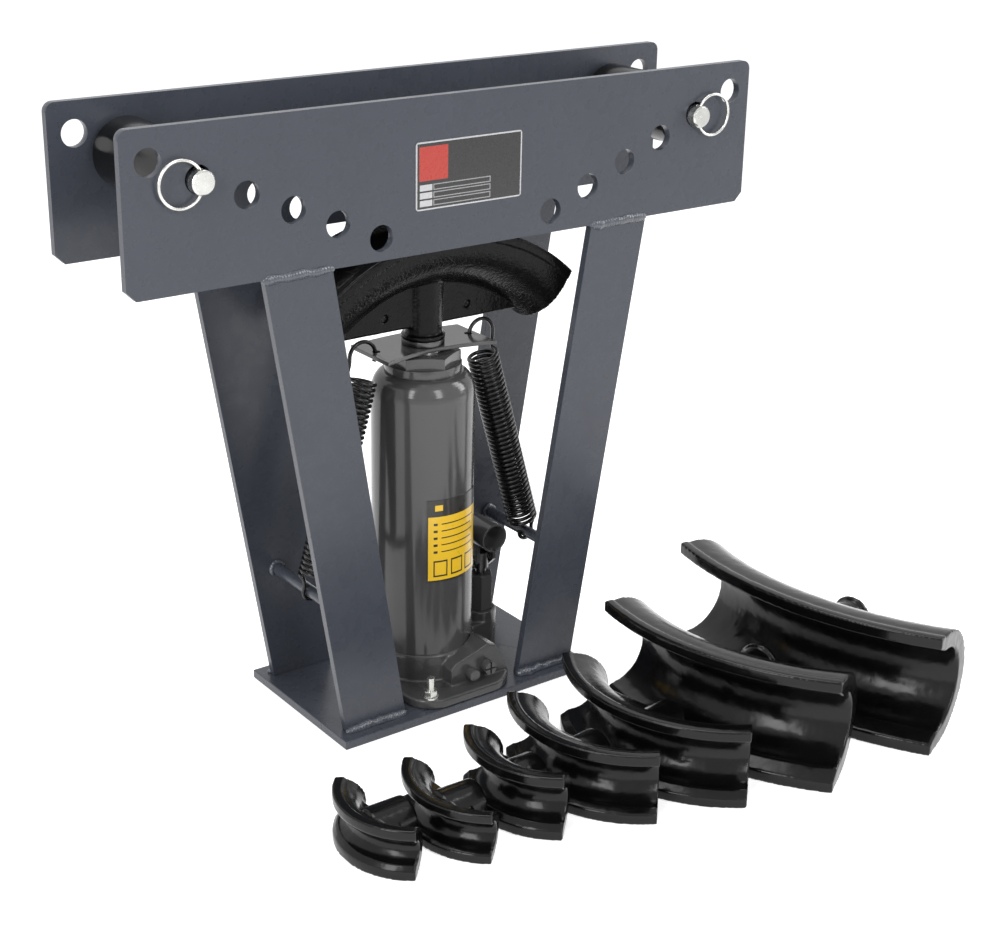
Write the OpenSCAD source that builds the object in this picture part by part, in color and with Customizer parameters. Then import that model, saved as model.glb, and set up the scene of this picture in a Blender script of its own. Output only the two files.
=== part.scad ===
// Hydraulic pipe bender: a welded frame with two drilled beams, a bottle jack that
// pushes a former up between them, two rollers on removable pins and a set of formers.
// X runs along the beams, Y across them, Z up. The origin is under the base plate.

/* [Frame] */
// Length of each drilled beam
beam_l = 700; // [640:1:800]
// Height of each drilled beam
beam_h = 145; // [130:1:170]
// Underside of the beams above the floor
beam_z = 483; // [440:1:540]
// Thickness of the beam plates and the legs
plate_t = 8; // [6:0.5:10]
// Clear gap between the two beams
gap_w = 134; // [126:1:150]
// Corner size of the beams
beam_corner = 9; // [4:0.5:15]
// Width of a leg, measured level
leg_w = 70; // [55:1:85]
// Middle of a leg at its top, from the centre
leg_top_x = 184; // [160:1:210]
// Middle of a leg at its foot, from the centre
leg_foot_x = 106; // [90:1:110]
// Length of the base plate
base_l = 304; // [290:1:340]
// Width of the base plate
base_w = 184; // [176:1:220]
// Thickness of the base plate
base_t = 9; // [6:0.5:14]
// Leg of the fillet welds
weld_leg = 6; // [3:0.5:8]

/* [Pin holes] */
// Holes on each side of a beam
hole_n = 6; // [4:1:6]
// Bore of the holes
hole_d = 25; // [24:0.1:27]
// Innermost hole from the centre
hole_x0 = 97; // [92:0.5:102]
// Innermost hole above the underside of the beam
hole_z0 = 21; // [18:0.5:26]
// Outermost hole from the end of the beam
hole_end = 25.5; // [20:0.5:30]
// Outermost hole below the top of the beam
hole_top = 29; // [24:0.5:36]
// The hole that the pins stand in, counted from the outside
pin_hole_n = 2; // [2:1:4]

/* [Pins and rollers] */
// Diameter of the roller pins
pin_d = 22; // [18:0.5:23.5]
// How far a pin stands out of the front beam
pin_out = 11; // [9:0.5:20]
// How far a pin stands out of the back beam
pin_back = 9; // [4:0.5:20]
// Outside diameter of a roller
roller_d = 66; // [50:1:68]
// End play of a roller between the beams, on each side
roller_play = 4; // [1:0.5:6]
// Rounding of the roller's rims
roller_edge = 4; // [2:0.5:8]
// Running clearance of the rollers on the pins, on the radius
roller_clear = 0.08; // [0.02:0.01:0.1]
// Outside diameter of a pull ring
ring_d = 44; // [36:1:50]
// Wire of a pull ring
ring_wire = 3; // [2:0.1:4]

/* [Jack] */
// Diameter of the oil tank
tank_d = 105; // [98:0.5:110]
// Wall of the oil tank
tank_wall = 3; // [2:0.1:5]
// Underside of the oil tank above the floor
tank_z = 48; // [44:0.5:54]
// Height of the oil tank with its spun shoulder
tank_h = 293; // [280:1:305]
// Diameter of the ram
ram_d = 38; // [30:0.5:40]
// Bore of the pressure cylinder
cyl_bore = 45; // [42:0.5:50]
// Wall of the pressure cylinder
cyl_wall = 7; // [5:0.5:9]
// Travel of the ram
stroke = 200; // [150:5:215]
// Height of the piston
piston_h = 26; // [20:1:34]
// Size across the flats of the tank nut
nut_af = 66; // [60:0.5:67]
// Height of the hexagon of the tank nut
nut_h = 12; // [10:0.5:16]
// Height of the round collar under the hexagon
neck_h = 9; // [7:0.5:12]
// Width of the casting's flange along X
flange_l = 122; // [112:1:130]
// Width of the casting's flange along Y
flange_w = 182; // [174:1:184]
// Thickness of the casting's flange
flange_t = 10; // [8:0.5:12]
// Thread of the holding-down studs
stud_d = 8; // [6:0.5:10]
// Spacing of the studs along X
stud_span_x = 84; // [78:1:88]
// Spacing of the studs along Y
stud_span_y = 155; // [150:1:157]

/* [Hand pump] */
// Pump axis from the side of the oil tank, along X
pump_out = 23; // [21:0.5:27]
// Pump axis behind the jack axis
pump_y = 0; // [-4:0.5:6]
// Height of the casting's pump boss above the floor
boss_z = 58; // [54:0.5:62]
// Size across the flats of the pump body
pump_af = 23; // [21:0.5:26]
// Length of the pump body above its boss
pump_h = 40; // [34:0.5:42]
// Diameter of the plunger
plunger_d = 12; // [9:0.5:14]
// Height of the handle socket's axis above the floor
socket_z = 146; // [143:0.5:152]
// Bore of the handle socket
socket_bore = 27; // [24:0.5:29]
// Wall of the handle socket
socket_wall = 2; // [1.5:0.1:3]
// Length of the handle socket
socket_l = 58; // [50:1:70]
// Fulcrum pin behind the pump axis
fulcrum_reach = 26; // [25:0.5:30]
// Diameter of the two pump pins
link_pin_d = 8; // [6:0.5:9]

/* [Return springs] */
// Diameter of the spring wire
wire_d = 4; // [3:0.1:4.4]
// Mean radius of the coil
coil_r = 14.8; // [13:0.1:16]
// Curls in each spring
curls = 38; // [34:1:42]
// Diameter of the cross rods
rod_d = 12; // [10:0.5:13]
// Cross rods from the centre
rod_x = 134.5; // [130:0.5:138]
// Height of the cross rods above the floor
rod_z = 132; // [126:0.5:138]
// Thickness of the spring plate
ear_t = 4; // [3:0.5:5]
// Half length of the spring plate
ear_x = 64.5; // [60:0.5:68]
// Front edge of the spring plate at its ends, from the middle
ear_front = 36; // [32:0.5:40]
// Back edge of the spring plate at its ends, from the middle
ear_back = 32; // [28:0.5:40]
// How far the front edge is hollowed in the middle
ear_dip = 13; // [4:0.5:14]
// How far the back edge bulges in the middle
ear_bulge = 6; // [2:0.5:10]

/* [Formers] */
// Outside diameters of the pipes that the formers bend
pipe_d = [21.3, 26.9, 33.7, 42.4, 48.3, 60.3, 76.1, 88.9]; // [20:0.1:90]
// Radius over the rims of each former
rim_r = [75, 83, 88, 121, 155, 218, 288, 379]; // [60:1:400]
// Half of the arc that each former covers, in degrees
half_arc = [52, 51, 49, 49, 48, 43, 28, 25]; // [22:0.5:54]
// Wall between groove and side of each former
lip_t = [14, 11, 15, 14, 15.5, 18.5, 20.5, 19.5]; // [8:0.5:22]
// Width of each rim beside the groove's flared mouth
mouth_rim = [9, 8.5, 9.5, 10, 9.5, 11, 11, 12]; // [6:0.5:14]
// Crown of each former to the mouth of its boss
former_h = [64, 64, 60, 67, 82, 115, 120, 134]; // [56:1:140]
// Thickness of the web of each former
web_t = [12, 12, 12, 14, 14, 14, 16, 16]; // [8:1:20]
// Outside diameter of a boss
boss_d = 37; // [34:0.5:40]
// Diameter of the ram's spigot
spigot_d = 24; // [20:0.5:26]
// Height of the ram's spigot
spigot_h = 28; // [20:1:34]

/* [Labels] */
// Length of the rating plate
label_l = 120; // [80:1:140]
// Height of the rating plate
label_h = 63; // [40:1:66]
// Thickness of the labels
label_t = 0.6; // [0.4:0.1:1]
// Height of the label on the tank
sticker_h = 89; // [50:1:120]
// Half of the arc that the label on the tank covers
sticker_arc = 37.5; // [20:0.5:60]

/* [Hidden] */

$fn = 96;
// overrun of every cut, and the fits that several pieces share
cut = 1;
run_fit = 0.08;
seat_gap = 0.3;

// colours of the finishes
frame_c = [0.25, 0.27, 0.30];
jack_c = [0.33, 0.33, 0.34];
cast_c = [0.06, 0.06, 0.07];
zinc_c = [0.75, 0.76, 0.78];
steel_c = [0.62, 0.63, 0.65];
rubber_c = [0.03, 0.03, 0.03];

// frame
face_in = gap_w / 2;
bead_clear = 0.05;
face_out = face_in + plate_t;
beam_mid = face_in + plate_t / 2;
beam_top = beam_z + beam_h;
leg_h = beam_z - base_t;
leg_rise_x = leg_top_x - leg_foot_x;
bead_out = 2.5;
bead_h = 8;
rod_weld_leg = 4;

// height of hole number i counted from the inside, and its place along the beam
hole_step_x = (beam_l / 2 - hole_end - hole_x0) / (hole_n - 1);
hole_step_z = (beam_h - hole_top - hole_z0) / (hole_n - 1);
function hole_x(i) = hole_x0 + i * hole_step_x;
function hole_z(i) = beam_z + hole_z0 + i * hole_step_z;
pin_i = hole_n - pin_hole_n;
pin_x = hole_x(pin_i);
pin_z = hole_z(pin_i) - (hole_d - pin_d) / 2 + run_fit;
pin_front_y = -face_out - pin_out;
pin_back_y = face_out + pin_back;
pin_chamfer = 1.5;
// the ring bends through its hole, so the hole takes the height of that arc too
ring_r = (ring_d - ring_wire) / 2;
ring_y = -face_out - pin_out / 2;
ring_rise = ring_r - sqrt(ring_r * ring_r - pin_d * pin_d / 4);
ring_hole_d = ring_wire + ring_rise + 2 * seat_gap;
roller_l = gap_w - 2 * roller_play;

// jack casting and tank
flange_z = base_t + flange_t;
flange_corner = 32;
seat_w = 3;
spout_r = tank_d / 2 + seat_w;
rebate = 1.5;
tank_top = tank_z + tank_h;
tank_r = tank_d / 2;
floor_t = 33;
floor_z = base_t + floor_t;
cyl_r_out = cyl_bore / 2 + cyl_wall;
// the tank's spun shoulder ends at the collar of its nut
neck_margin = 0.9;
neck_r = nut_af / 2 / cos(30) + neck_margin;
spun_w = tank_r - neck_r;
spun_h = 23;
spun_step = 7.5;
nut_turn = 30;
nut_z = tank_top + neck_h;
nut_top = nut_z + nut_h;
nut_skirt = 16;
nut_edge = 1.5;
cyl_seat = 4;
cyl_top = tank_top - nut_skirt + cyl_seat;
gasket_t = 2;
plug_d = 10;
plug_head_d = 15;
plug_head_t = 2.5;
plug_lift = 0.8;
plug_drop = 40;
plug_z = tank_top - plug_drop;

// ram
plate_gap = 2.5;
plate_z = nut_top + plate_gap;
collar_z = plate_z + ear_t;
collar_h = 6;
collar_d = 43;
boss_mouth_z = collar_z + collar_h;
oil_gap = 8;
piston_z = floor_z + gasket_t + oil_gap;
neck_d = 30;
seal_h = 6;

// valves in the casting
valve_face_y = -72;
valve_block_t = 32;
valve_rise = 12;
valve_z = flange_z + valve_rise;
release_x = 31.5;
release_d = 14;
release_l = 9;
valve_seat_l = 16;
valve_seat_d = 9;
safety_x = 11.5;
safety_d = 12;
safety_l = 9;
safety_drop = 3;
slot_w = 2;
slot_depth = 3;
ball_d = 6;
gallery_d = 5;
pump_thread_l = 20;
ball_z = boss_z - pump_thread_l - ball_d / 2;
valve_block_l = 60;
valve_block_h = 46;
// the valve block's corners, along X and up from the base plate
valve_shares = [[-0.2, 0], [1, 0], [1, 0.2], [0.72, 0.93], [0.57, 1], [-0.1, 0.74], [-0.2, 0.61]];

// studs
stud_l = 41;
washer_t = 1.6;
washer_d = 2.1 * stud_d;
stud_nut_h = 0.8 * stud_d;
stud_nut_af = 1.6 * stud_d;
stud_play = 0.5;

// hand pump
pump_x = tank_r + pump_out;
boss_r = 17;
pump_top = boss_z + pump_h;
pump_bore = plunger_d + 2 * run_fit;
pump_thread_d = 20;
plunger_gap = 10;
plunger_foot = boss_z - pump_thread_l + plunger_gap;
head_d = 16;
head_gap = 7;
head_z = pump_top + head_gap;
link_rise = 10;
link_z = head_z + link_rise;
head_top = link_z + link_pin_d;
slot_play = 0.5;
slot_reach = 1.6;
fork_t = 4;
fork_edge = 10;
fork_in = head_d / 2 + slot_play;
socket_r = socket_bore / 2 + socket_wall;
socket_front = -24;
fulcrum_y = pump_y + fulcrum_reach;
lug_t = 12;
lug_w = head_d;
lug_foot_z = 40;
pin_head_t = 2;
pin_lip = 1.5;

// springs: mean line of one hook, coil and hook, in the plane of the hooks
hook_r = rod_d / 2 + wire_d / 2 + seat_gap;
top_r = coil_r;
hook_out = 6.5;
top_x = ear_x + hook_out;
top_z = plate_z + ear_t / 2;
ear_hole_d = 2 * wire_d;
// the wire is pulled against the outer side of its hole
ear_hole_x = top_x - top_r + wire_d / 2 + 3 * seat_gap - ear_hole_d / 2;
coil_lean = 2;
coil_low = 15;
coil_high = 24;

// labels
label_corner = 3;
label_gap = 0.05;
sticker_drop = 210.5;
sticker_z = tank_top - sticker_drop;
sticker_turn = -82;

// formers
rim_w = 9;
rim_step = 1.5;
groove_share = 0.18;
boss_rim_d = 44;
boss_rim_h = 5;
boss_flare = 4;
// the long formers have a rim at the mouth of the boss and holes in the web
long_from = 100;
bore_fit = 0.4;
web_hole_d = 7;
web_hole_share = 0.33;
web_hole_in = 14;
web_inset = 1.2;
web_in = 6;
web_rise = 8;
mouth_out = 8;
// how far the end faces are turned from the arc's radius towards the boss
end_skew = 14;
// index of the former that stands on the ram
mounted_n = 5;
// place of each loose former's crown on the floor, and the way that it faces
crown_x = [-254, -186, -115, -49.5, 26.5, 0, 116, 251];
crown_y = [-258, -269, -276, -287, -290.5, 0, -299.5, -276];
facing = [184, 183, 187, 193, 191, 0, 195, 190];

// blocks that several pieces share

// a block between two corners
module span(a, b) {
    translate(a) cube(b - a);
}

// a rod along Y from y0 to y1
module rod_y(x, z, y0, y1, d) {
    translate([x, y0, z]) rotate([-90, 0, 0]) cylinder(h = y1 - y0, d = d);
}

// a rod along X from x0 to x1
module rod_x_dir(y, z, x0, x1, d) {
    translate([x0, y, z]) rotate([0, 90, 0]) cylinder(h = x1 - x0, d = d);
}

// a rectangle with rounded corners about its middle
module round_rect(l, w, r) {
    square([l - 2 * r, w], center = true);
    square([l, w - 2 * r], center = true);
    for (sx = [-1, 1], sy = [-1, 1])
        translate([sx * (l / 2 - r), sy * (w / 2 - r)]) circle(r);
}

// a hexagonal prism standing on z = 0
module hexagon(af, h) {
    cylinder(h = h, d = af / cos(30), $fn = 6);
}

// outline of a beam: round corners at the top, cut ones at the bottom
module beam_outline() {
    l = beam_l / 2;
    c = beam_corner;
    difference() {
        polygon([[-l + c, 0], [l - c, 0], [l, c], [l, beam_h], [-l, beam_h], [-l, c]]);
        for (s = [-1, 1])
            translate([s * (l - c), beam_h - c]) difference() {
                translate([s > 0 ? 0 : -2 * c, 0]) square(2 * c);
                circle(c);
            }
    }
}

// one drilled beam with its inner face at y0
module beam(y0) {
    difference() {
        translate([0, y0 + plate_t, beam_z]) rotate([90, 0, 0])
            linear_extrude(plate_t) beam_outline();
        for (s = [-1, 1], i = [0:hole_n - 1])
            rod_y(s * hole_x(i), hole_z(i), y0 - cut, y0 + plate_t + cut, hole_d);
    }
}

module front_beam() {
    color(frame_c) beam(-face_out);
}

module back_beam() {
    color(frame_c) beam(face_in);
}

module base_plate() {
    color(frame_c) difference() {
        span([-base_l / 2, -base_w / 2, 0], [base_l / 2, base_w / 2, base_t]);
        studs_at() translate([0, 0, -cut]) cylinder(h = base_t + 2 * cut, d = stud_d);
    }
}

// a flat-bar leg that leans out from the base plate to the beam
module leg(side, y0) {
    color(frame_c) translate([0, y0 + plate_t, base_t]) rotate([90, 0, 0])
        linear_extrude(plate_t) polygon([
            [side * (leg_foot_x - leg_w / 2), 0], [side * (leg_foot_x + leg_w / 2), 0],
            [side * (leg_top_x + leg_w / 2), leg_h], [side * (leg_top_x - leg_w / 2), leg_h]]);
}

// weld beads across the joints of legs and beams, on the outer faces
module beam_welds() {
    color(frame_c) for (sx = [-1, 1], sy = [-1, 1])
        translate([sx * leg_top_x - leg_w / 2, sy * face_out, beam_z])
            rotate([0, 90, 0]) linear_extrude(leg_w) intersection() {
                scale([bead_h / 2, bead_out]) circle(1);
                translate([-bead_h, sy > 0 ? 0 : -2 * bead_out])
                    square([2 * bead_h, 2 * bead_out]);
            }
}

// fillet welds along the feet of the legs
module foot_welds() {
    color(frame_c) for (sx = [-1, 1], sy = [-1, 1])
        translate([sx * leg_foot_x - leg_w / 2, sy * face_out, base_t]) rotate([90, 0, 90])
            linear_extrude(leg_w) polygon([[0, 0], [sy * weld_leg, 0], [0, weld_leg]]);
}

// round bar between the legs that the springs hook on
module cross_rod(side) {
    color(frame_c) rod_y(side * rod_x, rod_z, -face_in, face_in, rod_d);
}

module rod_welds() {
    color(frame_c) for (sx = [-1, 1], sy = [-1, 1])
        translate([sx * rod_x, sy * face_in, rod_z]) rotate([sy * 90, 0, 0])
            rotate_extrude() polygon([[rod_d / 2 + bead_clear, 0],
                [rod_d / 2 + rod_weld_leg, 0], [rod_d / 2 + bead_clear, rod_weld_leg]]);
}

// places of the holding-down studs: the valve block takes the fourth corner
module studs_at() {
    for (s = [[-1, -1], [-1, 1], [1, 1]])
        translate([s[0] * stud_span_x / 2, s[1] * stud_span_y / 2, 0]) children();
}

// cast foot of the jack, with the tank's seat, the pump boss, the lug and the valve block
module casting_body() {
    translate([0, 0, base_t]) linear_extrude(flange_t)
        round_rect(flange_l, flange_w, flange_corner);
    translate([0, 0, base_t]) cylinder(h = tank_z - rebate - base_t, r = spout_r);
    translate([0, 0, base_t]) cylinder(h = tank_z - base_t, r = spout_r - rebate);
    translate([pump_x, pump_y, base_t]) cylinder(h = boss_z - base_t, r = boss_r);
    span([0, pump_y - boss_r, base_t], [pump_x, pump_y + boss_r, tank_z - rebate]);
    translate([0, valve_face_y + valve_block_t, base_t]) rotate([90, 0, 0])
        linear_extrude(valve_block_t) polygon([for (share = valve_shares)
            [share[0] * valve_block_l, share[1] * valve_block_h]]);
    translate([pump_x - lug_w / 2, 0, 0]) {
        span([0, pump_y, base_t], [lug_w, fulcrum_y + lug_t / 2, lug_foot_z]);
        span([0, fulcrum_y - lug_t / 2, lug_foot_z],
            [lug_w, fulcrum_y + lug_t / 2, link_z]);
        rod_x_dir(fulcrum_y, link_z, 0, lug_w, lug_t);
    }
}

module jack_casting() {
    color(jack_c) difference() {
        casting_body();
        translate([0, 0, floor_z]) cylinder(h = tank_z, r = tank_r - tank_wall - rebate);
        translate([0, 0, tank_z]) cylinder(h = boss_z, r = tank_r + seat_gap);
        translate([pump_x, pump_y, boss_z - pump_thread_l])
            cylinder(h = boss_z, d = pump_thread_d);
        translate([pump_x, pump_y, ball_z - ball_d / 2 - seat_gap])
            cylinder(h = boss_z, d = ball_d + 2 * seat_gap);
        rod_x_dir(pump_y, ball_z, 0, pump_x, gallery_d);
        translate([0, pump_y, ball_z]) cylinder(h = tank_z, d = gallery_d);
        rod_x_dir(fulcrum_y, link_z, pump_x - boss_r, pump_x + boss_r,
            link_pin_d + 2 * run_fit);
        rod_y(release_x, valve_z, valve_face_y - cut, valve_face_y + valve_seat_l,
            valve_seat_d + 2 * run_fit);
        rod_y(safety_x, valve_z - safety_drop, valve_face_y - cut,
            valve_face_y + valve_seat_l, valve_seat_d);
        studs_at() translate([0, 0, base_t - cut])
            cylinder(h = flange_t + 2 * cut, d = stud_d + 2 * stud_play);
    }
}

// a quarter of an ellipse from r out to the mouth, as a list of points
function spun(r, h) = [for (t = [0:spun_step:90])
    [r - spun_w + spun_w * cos(t), tank_top - spun_h + h * sin(t)]];

// steel tube that holds the oil, spun in at the top, with a filler hole high on its back
module oil_tank() {
    inner = spun(tank_r - tank_wall, spun_h - tank_wall);
    color(jack_c) difference() {
        rotate_extrude() polygon(concat([[tank_r, tank_z]], spun(tank_r, spun_h),
            [[neck_r - tank_wall, tank_top]],
            [for (i = [len(inner) - 1:-1:0]) inner[i]], [[tank_r - tank_wall, tank_z]]));
        rod_y(0, plug_z, 0, tank_d, plug_d);
    }
}

// push-in plug of the filler hole
module filler_plug() {
    color(rubber_c) {
        rod_y(0, plug_z, tank_r - tank_wall - plug_lift,
            tank_r + plug_lift + plug_head_t, plug_d);
        rod_y(0, plug_z, tank_r + plug_lift, tank_r + plug_lift + plug_head_t, plug_head_d);
    }
}

module pressure_cylinder() {
    color(steel_c) translate([0, 0, floor_z + gasket_t]) difference() {
        cylinder(h = cyl_top - floor_z - gasket_t, r = cyl_r_out);
        translate([0, 0, -cut]) cylinder(h = cyl_top, d = cyl_bore);
    }
}

module cylinder_gasket() {
    color("peru") translate([0, 0, floor_z]) difference() {
        cylinder(h = gasket_t, r = cyl_r_out);
        translate([0, 0, -cut]) cylinder(h = gasket_t + 2 * cut, d = cyl_bore);
    }
}

// head of the jack: a skirt in the tank's mouth, a round collar and a chamfered hexagon
module tank_nut() {
    corner_r = nut_af / 2 / cos(30);
    color(jack_c) difference() {
        union() {
            translate([0, 0, tank_top]) cylinder(h = neck_h, r = neck_r);
            translate([0, 0, tank_top - nut_skirt])
                cylinder(h = nut_skirt + cut, r = neck_r - tank_wall - seat_gap);
            translate([0, 0, nut_z - cut]) rotate([0, 0, nut_turn]) intersection() {
                hexagon(nut_af, nut_h + cut);
                rotate_extrude() polygon([[0, 0], [corner_r, 0],
                    [corner_r, nut_h + cut - nut_edge],
                    [nut_af / 2 - nut_edge, nut_h + cut], [0, nut_h + cut]]);
            }
        }
        translate([0, 0, tank_top - nut_skirt - cut])
            cylinder(h = tank_h, d = ram_d + 2 * run_fit);
        translate([0, 0, tank_top - nut_skirt - cut])
            cylinder(h = cyl_seat + cut, r = cyl_r_out + run_fit);
        translate([0, 0, nut_z]) cylinder(h = seal_h, d = ram_d + 2 * seal_h);
    }
}

// wiper ring in the head
module tank_seal() {
    color(rubber_c) translate([0, 0, nut_z]) difference() {
        cylinder(h = seal_h, d = ram_d + 2 * seal_h);
        translate([0, 0, -cut]) cylinder(h = seal_h + 2 * cut, d = ram_d + 2 * run_fit);
    }
}

// ram with its neck through the spring plate and a spigot for the former
module ram() {
    color(steel_c) {
        translate([0, 0, piston_z + piston_h])
            cylinder(h = plate_z - piston_z - piston_h, d = ram_d);
        translate([0, 0, piston_z + seal_h])
            cylinder(h = boss_mouth_z - piston_z - seal_h, d = neck_d);
        translate([0, 0, plate_z])
            cylinder(h = boss_mouth_z + spigot_h - plate_z, d = spigot_d);
    }
}

module ram_piston() {
    color(steel_c) translate([0, 0, piston_z + seal_h]) difference() {
        cylinder(h = piston_h - seal_h, d = cyl_bore - 2 * run_fit);
        translate([0, 0, -cut]) cylinder(h = piston_h + cut, d = neck_d);
    }
}

// cup seal under the piston
module piston_seal() {
    color(rubber_c) translate([0, 0, piston_z]) difference() {
        cylinder(h = seal_h, d = cyl_bore - 2 * run_fit);
        translate([0, 0, -cut]) cylinder(h = seal_h / 2 + cut, d = cyl_bore - 2 * seal_h);
    }
}

// ring nut that holds the spring plate down on the ram's shoulder
module ram_collar() {
    color(steel_c) translate([0, 0, collar_z]) difference() {
        cylinder(h = collar_h, d = collar_d);
        translate([0, 0, -cut]) cylinder(h = collar_h + 2 * cut, d = neck_d);
    }
}

// outline of the spring plate: straight ends, a hollow front and a bulged back
module plate_outline() {
    dip_r = (ear_x * ear_x + ear_dip * ear_dip) / (2 * ear_dip);
    bulge_r = (ear_x * ear_x + ear_bulge * ear_bulge) / (2 * ear_bulge);
    difference() {
        intersection() {
            translate([-ear_x, -ear_front]) square([2 * ear_x, 2 * ear_front + ear_back]);
            translate([0, ear_back + ear_bulge - bulge_r]) circle(bulge_r);
        }
        translate([0, ear_dip - ear_front - dip_r]) circle(dip_r);
    }
}

// plate on the ram's shoulder, with a hole for the neck and one for each spring hook
module spring_plate() {
    color(jack_c) difference() {
        translate([0, 0, plate_z]) linear_extrude(ear_t) plate_outline();
        translate([0, 0, plate_z - cut]) cylinder(h = ear_t + 2 * cut, d = neck_d);
        for (s = [-1, 1])
            translate([s * ear_hole_x, 0, plate_z - cut])
                cylinder(h = ear_t + 2 * cut, d = ear_hole_d);
    }
}

// springs: the wire's mean line is a list of points, swept with a six-sided section

// a bend that leaves p along t and reaches q along u, at share s of its length
function bend(p, t, q, u, s) = (2 * s * s * s - 3 * s * s + 1) * p
    + (s * s * s - 2 * s * s + s) * t + (3 * s * s - 2 * s * s * s) * q
    + (s * s * s - s * s) * u;

rings_per_curl = 8;
spring_sides = 6;
// the coil's axis runs from the rod to the middle of the hook at the plate
axis_low = [rod_x, 0, rod_z];
axis_high = [ear_x + coil_lean, 0, top_z];
axis_len = norm(axis_high - axis_low);
axis_w = (axis_high - axis_low) / axis_len;
axis_u = [axis_w[2], 0, -axis_w[0]];
coil_len = axis_len - coil_low - coil_high;
coil_pitch = coil_len / curls;

function coil_point(a) = axis_low + axis_w * (coil_low + coil_pitch * a / 360)
    + coil_r * (axis_u * cos(a) + [0, sin(a), 0]);
function rod_hook(a) = axis_low + hook_r * (axis_u * cos(a) + axis_w * sin(a));
function top_hook(a) = [top_x + top_r * cos(a), 0, top_z + top_r * sin(a)];

hook_step = 30;
bend_steps = 5;
low_bend_t = axis_w * coil_low * 1.2;
low_bend_u = [0, 1, 0] * coil_low * 1.1;
high_bend_t = [0, 1, 0] * coil_high * 0.7;
high_bend_u = [0, 0, 1] * coil_high * 1.2;
spring_line = concat(
    [for (a = [-210:hook_step:0]) rod_hook(a)],
    [for (i = [1:bend_steps - 1]) bend(rod_hook(0), low_bend_t, coil_point(0),
        low_bend_u, i / bend_steps)],
    [for (i = [0:curls * rings_per_curl]) coil_point(i * 360 / rings_per_curl)],
    [for (i = [1:bend_steps - 1]) bend(coil_point(curls * 360), high_bend_t,
        top_hook(0), high_bend_u, i / bend_steps)],
    [for (a = [0:hook_step:210]) top_hook(a)]);

// least gap of the wire to itself, measured between points more than half a curl apart
spring_gap = min([for (i = [0:len(spring_line) - 6])
    for (j = [i + 6:len(spring_line) - 1])
        norm(spring_line[i] - spring_line[j])]) - wire_d;
echo(spring_self_gap_mm = spring_gap);

function unit(v) = v / norm(v);
function tangent(line, i) =
    unit(line[min(i + 1, len(line) - 1)] - line[max(i - 1, 0)]);
// the section's first direction is carried along the line so that it doesn't twist
function carried(line, i = 1, acc = [[0, 1, 0]]) = i >= len(line) ? acc :
    carried(line, i + 1, concat(acc, [
        unit(acc[i - 1] - (acc[i - 1] * tangent(line, i)) * tangent(line, i))]));

module wire(line, d, sides) {
    normals = carried(line);
    n = len(line);
    points = [for (i = [0:n - 1]) for (k = [0:sides - 1])
        line[i] + d / 2 * (normals[i] * cos(360 * k / sides)
            + cross(tangent(line, i), normals[i]) * sin(360 * k / sides))];
    walls = [for (i = [0:n - 2]) for (k = [0:sides - 1])
        let (a = i * sides + k, b = i * sides + (k + 1) % sides)
            each [[a, b + sides, b], [a, a + sides, b + sides]]];
    caps = [for (k = [1:sides - 2]) each [[0, k, k + 1],
        [(n - 1) * sides, (n - 1) * sides + k + 1, (n - 1) * sides + k]]];
    polyhedron(points, concat(walls, caps));
}

module spring_right() {
    color(rubber_c) wire(spring_line, wire_d, spring_sides);
}

module spring_left() {
    color(rubber_c) wire([for (i = [len(spring_line) - 1:-1:0])
        [-spring_line[i][0], spring_line[i][1], spring_line[i][2]]], wire_d, spring_sides);
}

// studs that hold the casting down, with their washers and nuts
module stud_set() {
    color(zinc_c) studs_at() cylinder(h = stud_l, d = stud_d);
}

module stud_washers() {
    color(zinc_c) studs_at() translate([0, 0, flange_z]) difference() {
        cylinder(h = washer_t, d = washer_d);
        translate([0, 0, -cut]) cylinder(h = washer_t + 2 * cut, d = stud_d);
    }
}

module stud_nuts() {
    color(zinc_c) studs_at() translate([0, 0, flange_z + washer_t]) difference() {
        hexagon(stud_nut_af, stud_nut_h);
        translate([0, 0, -cut]) cylinder(h = stud_nut_h + 2 * cut, d = stud_d);
    }
}

// hexagonal pump barrel screwed into the casting's boss
module pump_body() {
    color(jack_c) translate([pump_x, pump_y, 0]) difference() {
        union() {
            translate([0, 0, boss_z - pump_thread_l])
                cylinder(h = pump_thread_l + pump_h, d = pump_thread_d);
            translate([0, 0, boss_z]) hexagon(pump_af, pump_h);
        }
        translate([0, 0, boss_z - pump_thread_l - cut])
            cylinder(h = pump_h + pump_thread_l + 2 * cut, d = pump_bore);
        translate([0, 0, pump_top - seal_h])
            cylinder(h = seal_h + cut, d = pump_bore + seal_h);
    }
}

module plunger_seal() {
    color(rubber_c) translate([pump_x, pump_y, pump_top - seal_h]) difference() {
        cylinder(h = seal_h, d = pump_bore + seal_h);
        translate([0, 0, -cut]) cylinder(h = seal_h + 2 * cut, d = pump_bore);
    }
}

// plunger with a round head that the handle socket pulls
module pump_plunger() {
    color(steel_c) difference() {
        translate([pump_x, pump_y, 0]) {
            translate([0, 0, plunger_foot])
                cylinder(h = head_top - plunger_foot, d = plunger_d);
            translate([0, 0, head_z]) cylinder(h = head_top - head_z, d = head_d);
        }
        rod_x_dir(pump_y, link_z, pump_x - head_d, pump_x + head_d, link_pin_d);
    }
}

// side of the handle socket's fork, in Y and Z about the fulcrum
module fork_outline() {
    front = -fulcrum_reach - fork_edge;
    back = socket_front + socket_l - fulcrum_y;
    top = socket_z - link_z;
    polygon([[front, 0], [front + fork_edge, -fork_edge], [0, -fork_edge],
        [fork_edge, 0], [fork_edge, link_pin_d], [back, top], [front, top]]);
}

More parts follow.
